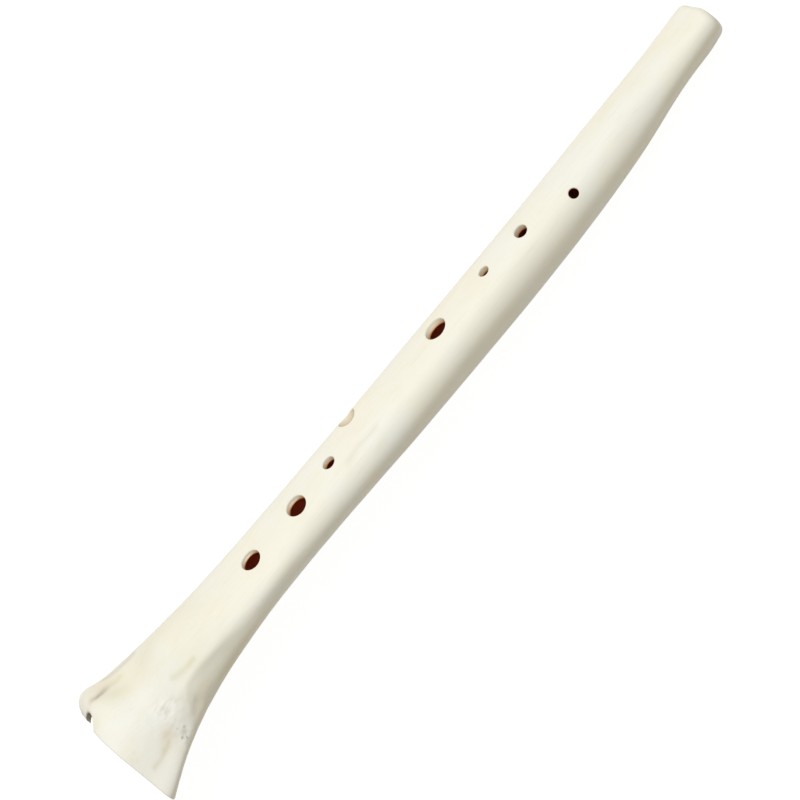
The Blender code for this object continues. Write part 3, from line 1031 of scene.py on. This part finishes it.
def worked_bone():
    """Cream, polished bone: soft mottling and grain drawn out along X, the marks of the
    flare, and painted shade that turns from cream through tan to dark red deeper in the holes
    and the bore. Patterns are measured in millimetres."""
    material, tree, shader = new_material("worked_bone")
    metres = tree.node("ShaderNodeTexCoord", output=3)
    millimetres = metres.scaled(1 / MM, 1 / MM, 1 / MM)

    def mark(name):
        """How strongly a mark shows, which the mesh keeps for each point."""
        return tree.node("ShaderNodeAttribute", {"attribute_name": name}, output=2)

    # Patterns: soft clouds and patches, grain and threads along the bone, specks, streaks
    # for the scratches and cells for the pits
    clouds, patches = millimetres.noise(CLOUDS), millimetres.noise(PATCHES)
    grain, threads = millimetres.noise(GRAINS), millimetres.noise(THREADS)
    specks = millimetres.noise(SPECKS)
    slanting = tree.node("ShaderNodeMapping", (), {"Vector": millimetres, "Rotation": SLANT})
    streaks = slanting.noise(STREAKS)
    cells = {"Vector": slanting.scaled(*CELLS), "Scale": 1.0, "Randomness": 1.0}
    cell = tree.node("ShaderNodeTexVoronoi", (), cells)
    pits = mark("pits").between(0.2, 0.7) * (1.0 - cell.between(0.14, 0.42)) * specks.between(0.36, 0.52)

    # Colour: the mottled ground, then each mark over it, the painted shade of the recesses and pits, and
    # the painted shade of the lining inside
    pale, dark, stain, scratched = mark("pale"), mark("dark"), mark("stain"), mark("scratches")
    colour = clouds.between(0.35, 0.68).tint(CREAM, CHALK)
    colour = (patches.between(0.45, 0.75) * 0.45).tint(colour, BUFF)
    colour = (grain.between(0.5, 0.8) * 0.35).tint(colour, GRAIN)
    colour = (threads.between(0.55, 0.85) * 0.22).tint(colour, THREAD)
    colour = (pale * 0.6).tint(colour, RUBBED)
    colour = (scratched * streaks.between(0.5, 0.62)).tint(colour, SCRATCH_LIGHT)
    colour = (scratched * (1.0 - streaks.between(0.38, 0.5)) * 0.75).tint(colour, SCRATCH_SHADE)
    colour = (mark("olive") * 0.8).tint(colour, OLIVE)
    colour = (mark("tan") * 0.75).tint(colour, TAN)
    # Painted shade in the crease and the other recesses, in the notch and in the pits
    painted_shade = (dark * (specks * 0.6 + 0.7) + pits * 0.55).clamped()
    colour = painted_shade.tint(colour, PAINTED_SHADE)
    # Painted shade of the holes and the bore, darker and redder deeper in, a little mottled
    mottled_bore_shade = (stain + (patches - 0.5) * 0.12 * stain.between(0.05, 0.4)).clamped()
    lining = tree.node("ShaderNodeValToRGB", {"stops": LINING}, {0: mottled_bore_shade})
    colour = (stain.between(0.02, 0.12) * (1.0 - dark)).tint(colour, lining)
    colour.feed(shader, "Base Color")

    # Gloss and relief: duller where it is pale or where the bore's shade is painted, rough ground, pits
    # and scratches
    roughness = 0.52 + pale * 0.14 + (patches - 0.5) * 0.12 + stain.between(0.1, 0.6) * 0.2
    roughness.feed(shader, "Roughness")
    shader.inputs["Specular IOR Level"].default_value = 0.3
    height = grain * 0.5 + threads * 0.35 + specks * (pale * 1.6 + 0.25) - pits
    height = height + streaks * scratched * 1.5
    bump = tree.node("ShaderNodeBump", (), {"Height": height, "Strength": 0.35, "Distance": 0.12 * MM})
    bump.feed(shader, "Normal")
    return material


def flute():
    """The bone in full, in the place of the solid."""
    mesh, place, turn, depth = flute_skin().mesh("bone_flute", flute_shift())
    for name, values in flute_marks(place, turn, depth).items():
        mesh.attributes.new(name, "FLOAT", "POINT").data.foreach_set("value", values)
    mesh.materials.append(worked_bone())
    piece = bpy.data.objects.new("bone_flute", mesh)
    bpy.context.scene.collection.objects.link(piece)
    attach(piece, "root")
    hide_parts("flute_body")


# The photograph's view: straight down on the flute, which runs from the lower left of the
# picture to the upper right
CAMERA_PLACE = (-0.00594, 0.00183, 1.2)
CAMERA_RIGHT = (0.6309, -0.7759, 0.0)
CAMERA_UP = (0.7759, 0.6309, 0.0)
CAMERA_BACK = (0.0, 0.0, 1.0)
SENSOR = 36.0
PICTURE = 800
MM_PER_PIXEL = 0.25643

# The floor, in metres and linear colours: what it gives back to the object, what it is
# painted with where it is seen, and how far it is lifted towards white there
FLOOR_HALF = 3.0
FLOOR_LIT = (0.63, 0.56, 0.475, 1.0)
FLOOR_SEEN = (0.16, 0.16, 0.16, 1.0)
FLOOR_GLOW = (0.93, 0.93, 0.93, 1.0)
BLACK = (0.0, 0.0, 0.0, 1.0)
WHITE = (1.0, 1.0, 1.0, 1.0)

# The lights: a broad key from the upper left of the picture, and the world's even fill
KEY = dict(
    place=(0.0, 0.78, 0.95), aim=(0.0, 0.0, 0.01), size=0.7, power=8.6, colour=(1.0, 1.01, 1.05)
)
FILL = (0.485, 0.465, 0.418, 1.0)


def camera():
    """Looks straight down, and sees as many millimetres as the photograph shows."""
    data = bpy.data.cameras.new("camera")
    data.sensor_width = SENSOR
    data.lens = SENSOR * CAMERA_PLACE[2] / (PICTURE * MM_PER_PIXEL * MM)
    eye = bpy.data.objects.new("camera", data)
    turn = Matrix((CAMERA_RIGHT, CAMERA_UP, CAMERA_BACK)).transposed()
    eye.matrix_world = Matrix.Translation(CAMERA_PLACE) @ turn.to_4x4()
    bpy.context.scene.collection.objects.link(eye)
    bpy.context.scene.camera = eye


def seen_directly(tree):
    """1 for rays from the camera, in mirrors and through glass, and 0 for the rest."""
    camera_ray = tree.node("ShaderNodeLightPath")
    outputs = camera_ray.socket.node.outputs
    mirror_ray = Wire(tree.tree, outputs["Is Glossy Ray"])
    glass_ray = Wire(tree.tree, outputs["Is Transmission Ray"])
    return (camera_ray + mirror_ray + glass_ray).clamped()


def floor():
    """A plain pale floor: diffuse, and lifted towards white where it is seen."""
    corners = [(x * FLOOR_HALF, y * FLOOR_HALF, 0) for x, y in ((-1, -1), (1, -1), (1, 1), (-1, 1))]
    mesh = bpy.data.meshes.new("floor")
    mesh.from_pydata(corners, [], [(0, 1, 2, 3)])
    material, tree, shader = new_material("pale_floor")
    shader.inputs["Roughness"].default_value = 0.9
    shader.inputs["Specular IOR Level"].default_value = 0.0
    shader.inputs["Emission Strength"].default_value = 1.0
    seen = seen_directly(tree)
    seen.tint(FLOOR_LIT, FLOOR_SEEN).feed(shader, "Base Color")
    seen.tint(BLACK, FLOOR_GLOW).feed(shader, "Emission Color")
    mesh.materials.append(material)
    piece = bpy.data.objects.new("floor", mesh)
    bpy.context.scene.collection.objects.link(piece)
    piece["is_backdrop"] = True


def soft_light(name, place, aim, size, power, colour):
    """A round studio light that faces the point that it is aimed at: its own Z axis runs
    from there to its place."""
    data = bpy.data.lights.new(name, "AREA")
    data.shape = "DISK"
    data.size = size
    data.energy = power
    data.color = colour
    lamp = bpy.data.objects.new(name, data)
    back = np.array(place) - np.array(aim)
    back = back / np.linalg.norm(back)
    side = np.cross((0.0, 0.0, 1.0), back)
    side = side / np.linalg.norm(side)
    matrix = np.eye(4)
    matrix[:3] = np.stack([side, np.cross(back, side), back, place], -1)
    lamp.matrix_world = Matrix(matrix.tolist())
    lamp.visible_camera = False
    bpy.context.scene.collection.objects.link(lamp)


def studio():
    """A broad key light and an even, weaker fill from a world that is seen as white."""
    soft_light("key_light", **KEY)
    world = bpy.data.worlds.new("studio")
    world.use_nodes = True
    background = world.node_tree.nodes["Background"]
    seen_directly(Wire(world.node_tree)).tint(FILL, WHITE).feed(background, "Color")
    background.inputs["Strength"].default_value = 1.0
    bpy.context.scene.world = world


bpy.context.scene.view_settings.view_transform = "Standard"
camera()
floor()
studio()
flute()

look_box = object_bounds()
boxes = {"cad": cad_box, "visual": look_box}
{name: [list(corner) for corner in box] for name, box in boxes.items()}
